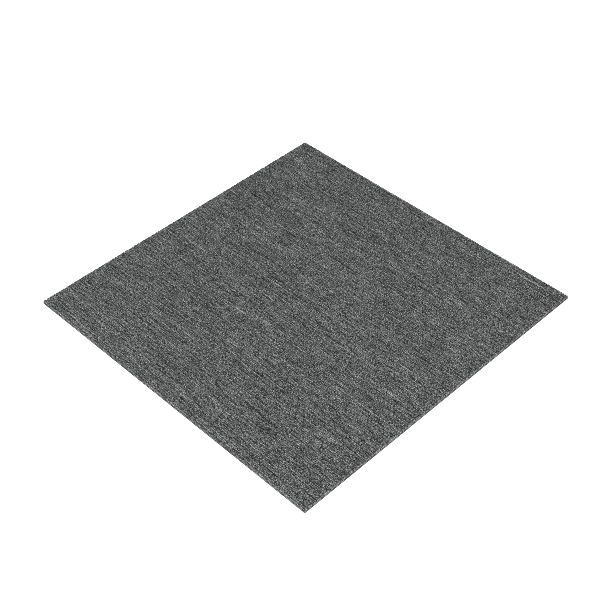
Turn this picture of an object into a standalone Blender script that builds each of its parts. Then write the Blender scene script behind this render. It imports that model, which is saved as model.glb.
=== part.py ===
"""Carpet tile: a loop-pile face laminated to a heavy backing slab.

The tile lies flat, with its underside on Z = 0 and its centre over the origin.
+X runs along the tuft rows, and +Z points up out of the pile. Lengths are in metres.
"""

import bmesh
import bpy
from mathutils import Matrix, Vector

# Plan of the tile
TILE_LENGTH = 0.500  # along the tuft rows
TILE_WIDTH = 0.500  # across the tuft rows

# Backing: a dense slab, cut square by a steel die that presses down from the pile side
BACKING_THICKNESS = 0.0028
DIE_ROUNDING = 0.0004  # the die drags the backing's lower rim a little round
DIE_ROUNDING_STEPS = 2

# Tufted face: the cloth and the loops that stand on it
FACE_THICKNESS = 0.0029
FACE_SETBACK = 0.0003  # the outermost loops stand this far inside the backing's cut edge
LOOP_SHOULDER = 0.0010  # the outermost loops turn over at about half a loop's width
LOOP_SHOULDER_STEPS = 3

# Film of adhesive between the two
BOND_LINE = 0.0003

# Linear base colours: red, green, blue, alpha
YARN_GREY = (0.115, 0.119, 0.118, 1.0)
BACKING_BLACK = (0.022, 0.022, 0.023, 1.0)


def clear_scene():
    """Removes every object that is in the file already."""
    for obj in list(bpy.data.objects):
        bpy.data.objects.remove(obj, do_unlink=True)


def matte(name, colour, roughness):
    """A plain Principled material with no metal in it."""
    material = bpy.data.materials.new(name)
    material.use_nodes = True
    shader = material.node_tree.nodes["Principled BSDF"]
    shader.inputs["Base Color"].default_value = colour
    shader.inputs["Roughness"].default_value = roughness
    shader.inputs["Metallic"].default_value = 0.0
    return material


def rim_edges(bm, height):
    """The edges of a block that lie all along one height."""
    return [e for e in bm.edges if all(abs(v.co.z - height) < 1e-7 for v in e.verts)]


def slab(name, size, rounded_height, radius, steps):
    """A block centred on its object's origin, with the rim at one height rounded over."""
    bm = bmesh.new()
    bmesh.ops.create_cube(bm, size=1.0, matrix=Matrix.Diagonal((*size, 1.0)))
    bmesh.ops.bevel(
        bm,
        geom=rim_edges(bm, rounded_height),
        offset=radius,
        offset_type="OFFSET",
        segments=steps,
        profile=0.5,
        affect="EDGES",
        material=-1,
    )
    mesh = bpy.data.meshes.new(name)
    bm.to_mesh(mesh)
    bm.free()
    return bpy.data.objects.new(name, mesh)


def make_backing():
    """The dense slab that gives the tile its weight. It rests on the floor."""
    size = Vector((TILE_LENGTH, TILE_WIDTH, BACKING_THICKNESS))
    backing = slab("backing", size, -size.z / 2, DIE_ROUNDING, DIE_ROUNDING_STEPS)
    backing.location = (0.0, 0.0, BACKING_THICKNESS / 2)
    backing.data.materials.append(matte("backing_compound", BACKING_BLACK, 0.75))
    return backing


def make_tufted_face():
    """The layer of loops, as thick as the cloth and the loops on it together."""
    size = Vector(
        (
            TILE_LENGTH - 2 * FACE_SETBACK,
            TILE_WIDTH - 2 * FACE_SETBACK,
            FACE_THICKNESS,
        )
    )
    face = slab("tufted_face", size, size.z / 2, LOOP_SHOULDER, LOOP_SHOULDER_STEPS)
    face.location = (0.0, 0.0, BACKING_THICKNESS + BOND_LINE + FACE_THICKNESS / 2)
    face.data.materials.append(matte("loop_pile_yarn", YARN_GREY, 0.95))
    return face


def main():
    clear_scene()
    tile = bpy.data.collections.new("carpet_tile")
    bpy.context.scene.collection.children.link(tile)
    for layer in (make_backing(), make_tufted_face()):
        tile.objects.link(layer)


main()
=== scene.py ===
# %% [markdown]
# # Carpet tile: the looks
#
# A carpet tile is a square of tufted cloth on a heavy black backing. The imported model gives
# its true outer sizes as two plain slabs. This script keeps the backing slab and gives it a
# finish, and builds the tufted cloth for real: rows of yarn loops, the cloth they are sewn
# through and the latex that locks them. All lengths are in metres, and +X runs along the
# rows.

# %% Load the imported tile
import math

import bmesh
import bpy
import numpy as np
from mathutils import Matrix, Vector


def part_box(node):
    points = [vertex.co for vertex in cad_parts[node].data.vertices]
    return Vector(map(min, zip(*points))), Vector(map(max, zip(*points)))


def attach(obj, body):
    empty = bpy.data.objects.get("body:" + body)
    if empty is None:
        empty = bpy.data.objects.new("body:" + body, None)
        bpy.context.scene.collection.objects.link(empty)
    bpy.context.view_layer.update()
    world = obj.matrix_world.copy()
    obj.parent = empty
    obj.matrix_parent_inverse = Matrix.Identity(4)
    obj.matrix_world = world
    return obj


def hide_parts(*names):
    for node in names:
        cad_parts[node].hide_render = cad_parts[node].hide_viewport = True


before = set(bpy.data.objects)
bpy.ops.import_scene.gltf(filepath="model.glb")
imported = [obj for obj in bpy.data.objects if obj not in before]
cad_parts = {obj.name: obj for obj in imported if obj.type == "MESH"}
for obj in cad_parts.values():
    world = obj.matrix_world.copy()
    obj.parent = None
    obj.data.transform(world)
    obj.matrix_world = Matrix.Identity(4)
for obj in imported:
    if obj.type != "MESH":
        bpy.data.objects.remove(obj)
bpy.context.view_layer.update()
face_low, face_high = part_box("tufted_face")
_, backing_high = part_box("backing")

# %% [markdown]
# ## Camera
#
# The photograph looks down on one corner of the tile from about 43 degrees, through a long
# lens. Azimuth, elevation and roll turn the camera round a target point near the middle of
# the tile. They were worked out from the four corners of the tile in the picture, so the
# render and the photograph can be laid over each other.

# %% Camera
SENSOR = 36.0  # mm
LENS = 75.3  # mm
AZIMUTH, ELEVATION, ROLL = (math.radians(turn) for turn in (46.1, 43.36, -1.31))
DISTANCE = 1.695  # from the target
TARGET = Vector((-0.0065, -0.0029, 0.0))


def make_camera():
    """A camera that stands back from the target along the line of sight."""
    flat, high = math.cos(ELEVATION), math.sin(ELEVATION)
    back = Vector((math.sin(AZIMUTH) * flat, -math.cos(AZIMUTH) * flat, high))
    right = Vector((math.cos(AZIMUTH), math.sin(AZIMUTH), 0.0))
    up = back.cross(right)
    tilt = Matrix.Rotation(ROLL, 3, back)
    axes = Matrix((tilt @ right, tilt @ up, back)).transposed().to_4x4()
    camera = bpy.data.objects.new("camera", bpy.data.cameras.new("camera"))
    camera.data.sensor_width = SENSOR
    camera.data.lens = LENS
    camera.matrix_world = Matrix.Translation(TARGET + DISTANCE * back) @ axes
    bpy.context.scene.collection.objects.link(camera)
    bpy.context.scene.camera = camera
    print("camera height in mm:", round(1000 * camera.matrix_world.translation.z))


make_camera()

# %% [markdown]
# ## Colours and nodes
#
# Colours are written as sRGB hex, as a colour picker shows them, and one function makes them
# linear, which is what Blender's shaders work in. One more function adds a node: its inputs
# are given by name, and each is either a plain value or the output socket to link.

# %% Helpers for colours and nodes
def linear(hex_colour):
    """The linear colour of an sRGB hex value such as #808080."""
    parts = [int(hex_colour[i : i + 2], 16) / 255 for i in (1, 3, 5)]
    curve = [c / 12.92 if c <= 0.04045 else ((c + 0.055) / 1.055) ** 2.4 for c in parts]
    return (*curve, 1.0)


def add(tree, kind, inputs=(), **settings):
    """Adds a node of this kind, with its settings, and sets or links its inputs."""
    node = tree.nodes.new("ShaderNode" + kind)
    for name, value in settings.items():
        setattr(node, name, value)
    for name, value in dict(inputs).items():
        if isinstance(value, bpy.types.NodeSocket):
            tree.links.new(value, node.inputs[name])
        else:
            node.inputs[name].default_value = value
    return node


def new_material(name):
    """An empty node material, and its tree."""
    material = bpy.data.materials.new(name)
    material.use_nodes = True
    material.node_tree.nodes.clear()
    return material, material.node_tree


def finish_material(tree, surface):
    """Links a shader node to the material's output."""
    output = tree.nodes.new("ShaderNodeOutputMaterial")
    tree.links.new(surface.outputs[0], output.inputs["Surface"])


def set_stops(ramp, stops):
    """Gives a colour ramp these stops, as pairs of place and hex colour."""
    elements = ramp.color_ramp.elements
    while len(elements) < len(stops):
        elements.new(0.5)
    for element, (place, colour) in zip(elements, stops, strict=True):
        element.position = place
        element.color = linear(colour)


print("the grey #808080 in linear values:", round(linear("#808080")[0], 3))

# %% [markdown]
# ## The yarn
#
# Loop pile is tufted from bulked nylon or polypropylene yarn that is dyed in the melt.
# Several ends of different greys are twisted together, which gives the heather look: each
# loop shows dark and pale filaments side by side. Every loop carries a number of its own,
# "shade", which slides it along a ramp from near black to pale grey. Two noises are added
# to it: flecks, where one twisted end turns up and the next one dives, and finer streaks
# for the filaments. Crimped filaments scatter light in all directions, so the yarn is very
# rough, with a little sheen from fibres seen edge on. What gloss they have is mostly lost
# between them, so the specular level is low, which lets the gaps between loops go black.

# %% Material: heather yarn
FLECK = 0.0007  # length of yarn over which one end shows before the next one does
FILAMENTS = 0.00030  # width of a streak of filaments, coarser than a single one of 0.04 mm
TWIST = math.radians(20)  # of the ends round the yarn
FLECK_STRETCH, STREAK_STRETCH = 2.2, 3.5  # how many times as long as wide they are
FLECK_SPREAD, STREAK_SPREAD = 0.84, 0.34  # how far they slide the shade either way
NOISE_LOW, NOISE_HIGH = 0.2, 0.8  # heights that the noise seldom goes past
HEATHER = [
    (0.0, "#050606"),
    (0.25, "#424444"),
    (0.5, "#626564"),
    (0.75, "#868888"),
    (1.0, "#bcbebe"),
]


def twisted_noise(tree, size, stretch, spread):
    """Noise drawn out along the twist, from -spread to +spread, and its raw height.

    A fleck is half a wave of the noise, so the scale is one half over its size.
    """
    place = add(tree, "TexCoord").outputs["Object"]
    turned = add(
        tree,
        "Mapping",
        {"Vector": place, "Rotation": (0.0, 0.0, TWIST), "Scale": (1.0, stretch, 1.0)},
    )
    noise = add(
        tree,
        "TexNoise",
        {"Vector": turned.outputs[0], "Scale": 0.5 / size, "Detail": 1.0, "Roughness": 0.5},
    )
    height = noise.outputs["Fac"]
    heights = {"From Min": NOISE_LOW, "From Max": NOISE_HIGH}
    slides = {"To Min": -spread, "To Max": spread}
    value = add(tree, "MapRange", {"Value": height, **heights, **slides}).outputs[0]
    return value, height


def heather_yarn():
    """Bulked and twisted yarn of dark and pale filaments, matt."""
    material, tree = new_material("bulked_heather_yarn")
    flecks, _ = twisted_noise(tree, FLECK, FLECK_STRETCH, FLECK_SPREAD)
    streaks, height = twisted_noise(tree, FILAMENTS, STREAK_STRETCH, STREAK_SPREAD)
    shade = add(tree, "Attribute", attribute_name="shade").outputs["Fac"]
    ends = add(tree, "Math", {0: shade, 1: flecks}, operation="ADD").outputs[0]
    mix = add(tree, "Math", {0: ends, 1: streaks}, operation="ADD", use_clamp=True)
    ramp = add(tree, "ValToRGB", {"Fac": mix.outputs[0]})
    set_stops(ramp, HEATHER)
    fuzz = add(tree, "Bump", {"Height": height, "Strength": 0.6, "Distance": 0.5 * FILAMENTS})
    surface = add(
        tree,
        "BsdfPrincipled",
        {
            "Base Color": ramp.outputs["Color"],
            "Roughness": 0.92,
            "Specular IOR Level": 0.2,
            "Sheen Weight": 0.10,
            "Sheen Roughness": 0.5,
            "Normal": fuzz.outputs[0],
        },
    )
    finish_material(tree, surface)
    return material


yarn = heather_yarn()
print("yarn ramp stops:", len(HEATHER))

# %% [markdown]
# ## Where the loops stand
#
# A tufting machine has one needle for each row, often 1/10 inch apart. Counted over the
# whole picture there are 200 rows. In 500 mm that is 2.50 mm a row, which is what cloth of
# that gauge comes to when it draws in a little as the backing is cast. The stitches can't
# be counted there, so a usual rate of 9 to the inch is taken, which is a guess. No row is
# in step with the next one, because each needle's yarn settles in its own way, and the rows
# also wander a little from their lines. The die cuts across them wherever it falls, so each
# row ends at its own distance from the cut.

# %% The grid of stitches
ROWS = 200
STITCH = 0.00282  # between loops along a row: 9 to the inch
WANDER = 0.12  # how far a row strays from its line, as a share of the gauge
WANDER_REACH = 2.0  # stitches over which it strays the same way
SLACK = 0.30  # how far the loops of a row run ahead or stay behind, in stitches
SLACK_REACH = 8.0  # stitches over which the slack stays alike
SLACK_TAPER = 10  # stitches at a row's end over which the slack dies out
ROW_END = (0.30, 0.46)  # least and most from the cut to a row's end loop, in stitches
SEED = 20

rng = np.random.default_rng(SEED)
face_size = face_high - face_low
gauge = face_size.y / ROWS
STITCHES = round(face_size.x / STITCH)
stitch = face_size.x / STITCHES


def drift(along, across):
    """Random values with a spread of 1 that change slowly along and across the rows.

    White noise is blurred by a bell curve, which is done by damping its fast waves.
    """
    spectrum = np.fft.rfft2(rng.standard_normal((ROWS, STITCHES)))
    steps_across = np.fft.fftfreq(ROWS)[:, None]
    steps_along = np.fft.rfftfreq(STITCHES)[None, :]
    spectrum *= np.exp(-2 * (math.pi * along * steps_along) ** 2)
    spectrum *= np.exp(-2 * (math.pi * across * steps_across) ** 2)
    field = np.fft.irfft2(spectrum, (ROWS, STITCHES))
    return (field - field.mean()) / field.std()


def stitch_grid():
    """Where each loop stands: x and y as arrays of rows by stitches.

    The outer loops keep to the cut: the slack dies out toward both ends of a row, and the
    first and last rows run straight.
    """
    from_end = np.minimum(np.arange(STITCHES), np.arange(STITCHES)[::-1])
    slack = SLACK * drift(SLACK_REACH, 0.0) * (from_end / SLACK_TAPER).clip(0.0, 1.0)
    first, last = rng.uniform(*ROW_END, (2, ROWS, 1))
    run = np.linspace(0.0, 1.0, STITCHES)[None, :]
    x = first + (face_size.x / stitch - first - last) * run + slack
    strayed = WANDER * drift(WANDER_REACH, 0.0)
    strayed[[0, -1]] = 0.0
    y = np.arange(ROWS)[:, None] + 0.5 + strayed
    return face_low.x + x * stitch, face_low.y + y * gauge


grid_x, grid_y = stitch_grid()
print("gauge", round(1000 * gauge, 3), "mm, stitch", round(1000 * stitch, 3), "mm")
print("rows:", ROWS, "loops in a row:", STITCHES, "loops:", ROWS * STITCHES)

# %% [markdown]
# ## How light or dark each loop is
#
# The heather comes from five things. Alternate rows are threaded with two yarns, a darker
# and a paler one. Each loop turns a different side of its yarn up. A turn of the twist is
# longer than a stitch, so neighbours along a row are a little alike. Now and then one end
# stays on top for a run of many stitches, which draws a thin dark or pale streak. And small
# differences in pile height and tension leave wider patches. White noise, blurred to the
# right reach along and across the rows, gives the slow parts. For the runs it is squared
# with its sign kept, so that most rows stay calm and the few strong runs stand out.

# %% Shade of each loop
SHADE_MEAN = 0.435
YARN_STEP = 0.072  # between the darker and the paler yarn
LOOP_SPREAD = 0.05  # from loop to loop
TURN_SPREAD, TURN_REACH = 0.045, 1.5  # over a turn of the twist, in stitches
RUN_SPREAD, RUN_REACH = 0.043, 4.5  # over a run of stitches with one end on top
PATCH_SPREAD = 0.008  # over wider patches
PATCH_REACH = (4.2, 1.8)  # stitches along the rows, and rows across them


def bold(field):
    """The field with its peaks raised and its middle calmed, again with a spread of 1."""
    peaks = field * np.abs(field)
    return peaks / peaks.std()


def loop_shades():
    """The shade of each loop, from 0 for the darkest filaments to 1 for the palest."""
    two_yarns = np.where(np.arange(ROWS)[:, None] % 2, 0.5, -0.5) * YARN_STEP
    shade = SHADE_MEAN + two_yarns + LOOP_SPREAD * rng.standard_normal((ROWS, STITCHES))
    shade = shade + TURN_SPREAD * drift(TURN_REACH, 0.0) + RUN_SPREAD * bold(drift(RUN_REACH, 0.0))
    return (shade + PATCH_SPREAD * drift(*PATCH_REACH)).clip(0.0, 1.0)


shades = loop_shades()
print("shade: mean", round(shades.mean(), 3), "spread", round(shades.std(), 3))

# %% [markdown]
# ## Two shapes of loop
#
# Inside the tile, a loop in dense pile shows only its bulging back, because its neighbours
# press against it. There are tens of thousands, so that shape has to be very light: a cone
# with six sides gives two rings, its top face is drawn up, and the new points are merged
# into the two ends of a ridge along the row, for 24 triangles. Smooth shading rounds it.
# Along the cut edges the sides of the loops can be seen too, so there each one is a real
# arch: a ring of yarn, spun half a turn over the top, with its two legs drawn down to the
# cloth.

# %% Model the two shapes
WAIST, BULGE, BULGE_HEIGHT = 0.42, 0.50, 0.58  # radii and height, as shares of the loop
RIDGE = 0.24  # of the back's highest line, from its middle to each end
LEG_SPREAD = 0.26  # of the arch's legs from its middle
ARCH_HEIGHT = 0.52  # where the legs turn into the arch
YARN_WIDTH = 2.08  # of an arch's yarn across the row, for each 1 along it
SIDES = 6  # of a back, and of the yarn of an arch
BEND_STEPS = 6  # in an arch's half turn


def loop_back():
    """A loop's back in a box of 1 by 1 by 1 that stands on Z = 0, with its ridge along X."""
    bm = bmesh.new()
    quarter = Matrix.Rotation(math.pi / 2, 4, "Z")
    bmesh.ops.create_cone(
        bm,
        cap_ends=True,
        segments=SIDES,
        radius1=WAIST,
        radius2=BULGE,
        depth=BULGE_HEIGHT,
        matrix=Matrix.Translation((0.0, 0.0, BULGE_HEIGHT / 2)) @ quarter,
    )
    top = [f for f in bm.faces if f.normal.z > 0.9]
    drawn = bmesh.ops.extrude_discrete_faces(bm, faces=top)["faces"][0].verts[:]
    ends = {end: [v for v in drawn if v.co.x * end > 0.0] for end in (-RIDGE, RIDGE)}
    for end, side in ends.items():
        bmesh.ops.pointmerge(bm, verts=side, merge_co=(end, 0.0, 1.0))
    bmesh.ops.recalc_face_normals(bm, faces=bm.faces[:])
    bmesh.ops.triangulate(bm, faces=bm.faces[:])
    return bm


def arch():
    """A whole loop in the same box: two legs along X and the bend over them."""
    bm = bmesh.new()
    widened = Matrix.Diagonal((1.0, YARN_WIDTH, 1.0, 1.0))
    ring = bmesh.ops.create_circle(
        bm,
        segments=SIDES,
        radius=0.5 - LEG_SPREAD,
        matrix=Matrix.Translation((LEG_SPREAD, 0.0, ARCH_HEIGHT)) @ widened,
    )["verts"]
    bmesh.ops.spin(
        bm,
        geom=ring + list(bm.edges),
        cent=(0.0, 0.0, ARCH_HEIGHT),
        axis=(0.0, -1.0, 0.0),
        angle=math.pi,
        steps=BEND_STEPS,
    )
    rims = [e for e in bm.edges if e.is_boundary]
    drawn = bmesh.ops.extrude_edge_only(bm, edges=rims)["geom"]
    for vert in {g for g in drawn if isinstance(g, bmesh.types.BMVert)}:
        vert.co.z = 0.0
    bmesh.ops.holes_fill(bm, edges=[e for e in bm.edges if e.is_boundary])
    bmesh.ops.recalc_face_normals(bm, faces=bm.faces[:])
    bmesh.ops.triangulate(bm, faces=bm.faces[:])
    return bm


def as_arrays(bm):
    """A bmesh of triangles as arrays: its points, and the corners of its faces, lowest first."""
    bm.verts.index_update()
    points = np.array([v.co for v in bm.verts])
    upward = sorted(bm.faces, key=lambda face: face.calc_center_median().z)
    corners = np.array([[v.index for v in f.verts] for f in upward])
    bm.free()
    return points, corners


back_points, back_faces = as_arrays(loop_back())
arch_points, arch_faces = as_arrays(arch())
print("triangles in a loop's back:", len(back_faces), "and in an arch:", len(arch_faces))
print("arch box:", arch_points.min(0).round(2), arch_points.max(0).round(2))

# %% [markdown]
# ## Copy the loops to every stitch
#
# Arrays do this fast: one copy of the template's points for each loop, each turned and
# sized by its own random amounts, and moved to its stitch. The die cuts through loops at
# the edges of the tile, so points past the cut are brought back to it, which gives those
# loops a flat cut side. Each loop also gets its own square on a UV map, unrolled as seen
# from above, so that the colours can be baked for other programs.

# %% Sizes of the loops, and how much they differ
FOOT_LEVEL = face_low.z + 0.0002  # where the loops stand, just under the cloth's top
LOOP_HEIGHT = face_high.z - FOOT_LEVEL
LOOP_LENGTH, LOOP_WIDTH = 1.30 * stitch, 1.15 * gauge  # neighbours press together
ARCH_LENGTH, ARCH_WIDTH = 1.02 * stitch, 0.96 * gauge
TURN = math.radians(9)  # out of line with the row
BACK_SPREAD, ARCH_SPREAD = 0.12, 0.08  # of length and width, as shares of them
BACK_LOWER, ARCH_LOWER = 0.12, 0.05  # from the tallest loop to the lowest, as a share
BACK_STRAY, ARCH_STRAY = 0.11, 0.05  # from the grid, as shares of stitch and gauge
DENT = 0.06  # of single points of a back, in or out, as a share of their distance
FOOT_SHADE = -0.22  # of a loop's foot against its crown, where its neighbours keep the light out
CUT_FOOT_PAINTED_LIGHT = 0.36  # painted light: the feet of the outer loops along the cut are made paler, where their sides face out and catch the light
CUT_CROWN_PAINTED_SHADE = -0.13  # painted shade: the crowns of the outer loops along the cut are made darker, so that the border shows no pale line on top
loop_size = (LOOP_LENGTH, LOOP_WIDTH, LOOP_HEIGHT)
print("a loop in mm:", [round(1000 * side, 2) for side in loop_size])


# %% Helpers: turn, size and place the copies
def turned(points, angle):
    """Each copy's points turned about Z by the copy's own angle."""
    cos, sin = np.cos(angle)[:, None], np.sin(angle)[:, None]
    x = points[..., 0] * cos - points[..., 1] * sin
    y = points[..., 0] * sin + points[..., 1] * cos
    return np.stack([x, y, points[..., 2]], 2)


def own_sizes(count, length, width, spread, lower):
    """Each loop's length and width, with this spread, and its height, up to this much lower."""
    size = np.array([length, width, LOOP_HEIGHT]) * np.ones((count, 3))
    size[:, :2] *= 1 + spread * rng.standard_normal((count, 2))
    size[:, 2] *= 1 - lower * rng.random(count)
    return size


def set_in_place(made, x, y, stray):
    """Turns and moves the copies, each a little astray, and cuts them at the tile's sides."""
    count = len(x)
    made = turned(made, TURN * rng.standard_normal(count))
    made[..., 0] += (x + stray * stitch * rng.standard_normal(count))[:, None]
    made[..., 1] += (y + stray * gauge * rng.standard_normal(count))[:, None]
    made[..., 2] += FOOT_LEVEL
    return made.clip(tuple(face_low), tuple(face_high))


def backs_at(x, y):
    """A loop's back for each place, as an array of loops by points by 3."""
    own = own_sizes(len(x), LOOP_LENGTH, LOOP_WIDTH, BACK_SPREAD, BACK_LOWER)
    made = back_points[None] * own[:, None]
    made[..., :2] *= 1 + DENT * rng.standard_normal(made.shape[:2])[..., None]
    return set_in_place(made, x, y, BACK_STRAY)


def arches_at(x, y):
    """An arch for each place, as an array of the same kind."""
    own = own_sizes(len(x), ARCH_LENGTH, ARCH_WIDTH, ARCH_SPREAD, ARCH_LOWER)
    return set_in_place(arch_points[None] * own[:, None], x, y, ARCH_STRAY)


# %% Helper: a square of the UV map for each copy
CROWN_AT = 0.25  # how far out in its square a loop's crown lies, where its feet lie at 1
SQUARE_REACH = 0.42  # from a square's middle to the feet, so that the squares keep apart
ON_AXIS = 1e-6  # a point nearer than this to the loop's axis lies in the middle


def own_squares(count, points):
    """A UV place for each point of each copy: a square of the map for each copy.

    In its square, a point lies round the crown, and further out the lower it is.
    """
    out = np.linalg.norm(points[:, :2], axis=1, keepdims=True)
    way = points[:, :2] / np.maximum(out, ON_AXIS)
    unrolled = way * (1.0 - (1.0 - CROWN_AT) * points[:, 2:]) * (out > ON_AXIS)
    across = math.ceil(math.sqrt(count))
    square = np.stack([np.arange(count) % across, np.arange(count) // across], 1)
    return (square[:, None] + 0.5 + SQUARE_REACH * unrolled[None]) / across


one_back = own_squares(1, back_points)
print("a back on its square: from", one_back.min().round(2), "to", one_back.max().round(2))


# %% Helpers: shade the points, and join the copies as one mesh
def shade_by_height(shade, points, crown, foot):
    """The shade of each point of each copy: the loop's own, plus painted shade and light at crown
    and foot.
    """
    height = points[None, :, 2]
    return shade[:, None] + crown * height + foot * (1.0 - height)


def joined(name, copies, faces, uv, shade):
    """One mesh object of all copies, with the UV map and each point's shade."""
    count, size = copies.shape[:2]
    corners = (faces[None] + size * np.arange(count)[:, None, None]).reshape(-1, 3)
    mesh = bpy.data.meshes.new(name)
    mesh.vertices.add(count * size)
    mesh.vertices.foreach_set("co", copies.astype(np.float32).ravel())
    mesh.loops.add(corners.size)
    mesh.loops.foreach_set("vertex_index", corners.astype(np.int32).ravel())
    mesh.polygons.add(len(corners))
    mesh.polygons.foreach_set("loop_start", np.arange(0, corners.size, 3, dtype=np.int32))
    mesh.update(calc_edges=True)
    mesh.shade_smooth()
    layer = mesh.uv_layers.new(name="OFBake")
    layer.uv.foreach_set("vector", uv.reshape(-1, 2)[corners.ravel()].astype(np.float32).ravel())
    value = mesh.attributes.new("shade", "FLOAT", "POINT")
    value.data.foreach_set("value", shade.astype(np.float32).ravel())
    piece = bpy.data.objects.new(name, mesh)
    bpy.context.scene.collection.objects.link(piece)
    return piece


def as_pile(piece):
    """Makes a piece part of the pile, in place of the plain slab."""
    piece.data.materials.append(yarn)
    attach(piece, "root")
    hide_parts("tufted_face")
    print(piece.name, "has", len(piece.data.polygons), "triangles")


# %% Loop pile in strips, and the border round them
STRIPS = 5


def border_mask():
    """True for the outermost loops: the first and last rows, and both ends of each row."""
    mask = np.zeros((ROWS, STITCHES), bool)
    mask[[0, -1], :] = True
    mask[:, [0, -1]] = True
    return mask


def loop_strip(number, rows):
    """The loops of some neighbouring rows, without the border, as one piece."""
    keep = ~on_border[rows]
    x, y, shade = grid_x[rows][keep], grid_y[rows][keep], shades[rows][keep]
    uv = own_squares(len(x), back_points)
    shade = shade_by_height(shade, back_points, 0.0, FOOT_SHADE)
    as_pile(joined(f"loops_strip_{number}", backs_at(x, y), back_faces, uv, shade))


def loop_border():
    """The outermost loops, as one piece of whole arches."""
    x, y, shade = grid_x[on_border], grid_y[on_border], shades[on_border]
    uv = own_squares(len(x), arch_points)
    # Along the cut the crowns get painted shade and the feet get painted light.
    shade = shade_by_height(shade, arch_points, CUT_CROWN_PAINTED_SHADE, CUT_FOOT_PAINTED_LIGHT)
    as_pile(joined("loops_border", arches_at(x, y), arch_faces, uv, shade))


on_border = border_mask()
for number, rows in enumerate(np.array_split(np.arange(ROWS), STRIPS), 1):
    loop_strip(number, rows)
loop_border()

# %% [markdown]
# ## Cloth under the loops
#
# The loops are sewn through a thin cloth, the primary backing. It is a spunbond: felted
# polyester filaments, pressed flat with heat. Its colour is dark, partly the cloth's own dye
# and partly painted shade for the deep gaps between the rows, where the loops keep the light
# out. Under it, the yarn runs from loop to loop as flat stitches, which don't show and aren't
# modelled, and a thin coat of latex locks them. At the cut edges the latex is a fine pale
# line over the black backing.

# %% Helpers: a mottled, matt material
MOTTLE_FROM, MOTTLE_TO = 0.3, 0.7  # heights of the noise that get the two colours in full
RELIEF = 0.0001  # of the mottle, as bump


def mottle(tree, size, colours):
    """A soft mottle of this size between two colours. Also gives its raw height."""
    place = add(tree, "TexCoord").outputs["Object"]
    waves = {"Vector": place, "Scale": 1.0 / size, "Detail": 3.0}
    noise = add(tree, "TexNoise", waves).outputs["Fac"]
    ramp = add(tree, "ValToRGB", {"Fac": noise})
    set_stops(ramp, [(MOTTLE_FROM, colours[0]), (MOTTLE_TO, colours[1])])
    return ramp.outputs["Color"], noise


def matt_surface(tree, colour, height, roughness):
    """Finishes a material as a matt surface of this colour, with a little bump."""
    bump = add(tree, "Bump", {"Height": height, "Strength": 0.4, "Distance": RELIEF}).outputs[0]
    values = {"Base Color": colour, "Roughness": roughness, "Normal": bump}
    finish_material(tree, add(tree, "BsdfPrincipled", values))


def mottled(name, size, colours, roughness):
    """A matt material with a soft mottle of this size, between two colours."""
    material, tree = new_material(name)
    colour, height = mottle(tree, size, colours)
    matt_surface(tree, colour, height, roughness)
    return material


# %% Materials: filled latex and spunbond cloth
LATEX_MOTTLE = 0.0008  # coarser than the grains of its filler, so that it shows
CLOTH_MOTTLE = 0.0006  # where filaments bunch up, coarser than a single one of 0.04 mm

filled_latex = mottled("filled_latex", LATEX_MOTTLE, ("#6f6f6b", "#8c8b86"), 0.7)
# The cloth's near-black colours are partly its own dye and partly painted shade for the gaps
# between the rows.
spunbond = mottled("spunbond_polyester", CLOTH_MOTTLE, ("#101111", "#1c1d1d"), 0.9)
print("materials:", filled_latex.name, "and", spunbond.name)


# %% Lay the latex and the cloth
LATEX_TOP = face_low.z
CLOTH_TOP = FOOT_LEVEL + 0.0001  # over the loops' feet, so that no gap shows


def layer(name, bottom, top, material):
    """One thin layer of the tile, cut to the size of the pile."""
    low, high = Vector((*face_low.xy, bottom)), Vector((*face_high.xy, top))
    bm = bmesh.new()
    place = Matrix.Translation((low + high) / 2) @ Matrix.Diagonal((*(high - low), 1.0))
    bmesh.ops.create_cube(bm, matrix=place)
    mesh = bpy.data.meshes.new(name)
    bm.to_mesh(mesh)
    bm.free()
    piece = bpy.data.objects.new(name, mesh)
    bpy.context.scene.collection.objects.link(piece)
    mesh.materials.append(material)
    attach(piece, "root")
    print(name, "is", round(1000 * (top - bottom), 2), "mm thick")
    return piece


layer("latex_coat", backing_high.z, LATEX_TOP, filled_latex)
cloth = layer("primary_cloth", LATEX_TOP, CLOTH_TOP, spunbond)

# %% [markdown]
# ## The backing
#
# The backing is a dense compound of bitumen or PVC with mineral filler, cast on the cloth
# and cut with it. It is nearly black and matt. The filler's own grains are 0.1 to 0.3 mm,
# too fine to show, so they are drawn as the coarser mottle that clumps of them make. Its
# mottle and bump come from the same functions as the cloth's and the latex's.
#
# The die comes down from the pile side, and drags lint and latex over the cut side of the
# compound. The smear comes and goes along the edge and thins out downward, so its cover is
# a noise, drawn out in height, that a narrow range turns into patches, times the height up
# the side.

# %% Material: backing compound
FILLER_CLUMP = 0.005  # coarser than the filler's grains, so that the mottle shows
SMEAR_PATCH = 0.004  # along the edge
SMEAR_DRAG = 3.0  # how many times as high as wide a patch is
SMEAR_DEPTH = 0.0024  # from the top of the side to where the smear has thinned out
SMEAR_FROM, SMEAR_FULL = 0.46, 0.56  # heights of the noise where a patch begins and is solid


def smear_cover(tree):
    """How much lint and latex lies on the side, from 0 to 1, by height and by a noise."""
    place = add(tree, "TexCoord").outputs["Object"]
    drag = (1.0, 1.0, 1.0 / SMEAR_DRAG)
    drawn = add(tree, "Mapping", {"Vector": place, "Scale": drag}).outputs[0]
    noise = add(tree, "TexNoise", {"Vector": drawn, "Scale": 1.0 / SMEAR_PATCH, "Detail": 4.0})
    limits = {"From Min": SMEAR_FROM, "From Max": SMEAR_FULL}
    patches = add(tree, "MapRange", {"Value": noise.outputs["Fac"], **limits}).outputs[0]
    height = add(tree, "SeparateXYZ", {"Vector": place}).outputs["Z"]
    side = {"From Min": backing_high.z - SMEAR_DEPTH, "From Max": backing_high.z}
    up = add(tree, "MapRange", {"Value": height, **side}).outputs[0]
    return add(tree, "Math", {0: patches, 1: up}, operation="MULTIPLY").outputs[0]


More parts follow.
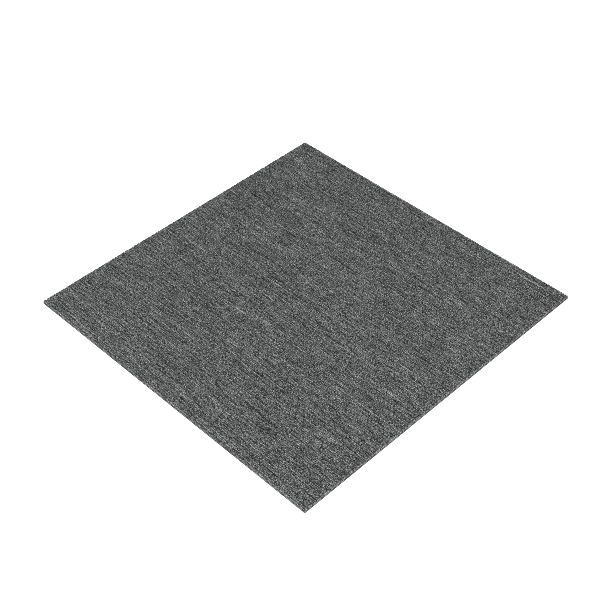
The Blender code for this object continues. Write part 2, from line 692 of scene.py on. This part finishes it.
def cut_compound():
    """Dense filled compound, nearly black, with the smear of the cut on its sides."""
    material, tree = new_material("filled_backing_compound")
    dark, height = mottle(tree, FILLER_CLUMP, ("#232324", "#3b3c3c"))
    pale, _ = mottle(tree, FILLER_CLUMP / 2, ("#6a6a67", "#9c9c98"))
    colour = add(tree, "MixRGB", {"Fac": smear_cover(tree), "Color1": dark, "Color2": pale})
    matt_surface(tree, colour.outputs[0], height, 0.85)
    return material


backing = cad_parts["backing"]
backing.data.materials.clear()
backing.data.materials.append(cut_compound())
print("backing material:", backing.data.materials[0].name)

# %% [markdown]
# ## Floor and light
#
# The photograph shows the tile on plain white, with no shadow. A pale floor that is lit
# through from below, as a studio's light table is, comes close. The world lights from all
# sides, a soft lamp above the camera gives the loops their form, and a weak one from the
# left fills their shadows.

# %% Floor
FLOOR_GLOW = 0.45  # enough to wash out the tile's shadow
FLOOR_DROP = 0.0001  # under the tile, so that the two never share a plane
FLOOR_HALF = 6.0  # half of its width


def make_floor():
    """A wide pale sheet under the tile."""
    bm = bmesh.new()
    place = Matrix.Translation((0.0, 0.0, -FLOOR_DROP))
    bmesh.ops.create_grid(bm, x_segments=1, y_segments=1, size=FLOOR_HALF, matrix=place)
    mesh = bpy.data.meshes.new("floor")
    bm.to_mesh(mesh)
    bm.free()
    floor = bpy.data.objects.new("floor", mesh)
    bpy.context.scene.collection.objects.link(floor)
    material, tree = new_material("opal_light_table")
    surface = add(
        tree,
        "BsdfPrincipled",
        {
            "Base Color": linear("#f4f4f4"),
            "Roughness": 0.9,
            "Emission Color": (1.0, 1.0, 1.0, 1.0),
            "Emission Strength": FLOOR_GLOW,
        },
    )
    finish_material(tree, surface)
    mesh.materials.append(material)


make_floor()
print("floor width in m:", 2 * FLOOR_HALF)

# %% Lamps and view
SURROUND = 0.47  # strength of the world's white
LAMP_SIZE = 0.9
KEY_PLACE, KEY_POWER = (1.00, -1.20, 1.50), 37.0  # watts
FILL_PLACE, FILL_POWER = (-1.35, -0.95, 1.35), 9.0  # watts
PIXEL_FILTER = 0.8  # pixels: narrow, so that single loops stay crisp


def soft_lamp(name, place, power):
    """A square area lamp that faces the tile."""
    lamp = bpy.data.objects.new(name, bpy.data.lights.new(name, "AREA"))
    lamp.data.size = LAMP_SIZE
    lamp.data.energy = power
    turn = (-Vector(place)).to_track_quat("-Z", "Y").to_matrix().to_4x4()
    lamp.matrix_world = Matrix.Translation(place) @ turn
    bpy.context.scene.collection.objects.link(lamp)


def make_world(strength):
    """An even white surround."""
    world = bpy.data.worlds.new("studio")
    world.use_nodes = True
    background = world.node_tree.nodes["Background"]
    background.inputs["Color"].default_value = (1.0, 1.0, 1.0, 1.0)
    background.inputs["Strength"].default_value = strength
    bpy.context.scene.world = world


make_world(SURROUND)
soft_lamp("key", KEY_PLACE, KEY_POWER)
soft_lamp("fill", FILL_PLACE, FILL_POWER)
scene = bpy.context.scene
scene.view_settings.view_transform = "Standard"
scene.cycles.use_denoising = False  # it takes single loops for noise and smears them together
scene.cycles.filter_width = PIXEL_FILTER
print("lamps in W:", KEY_POWER, "and", FILL_POWER)
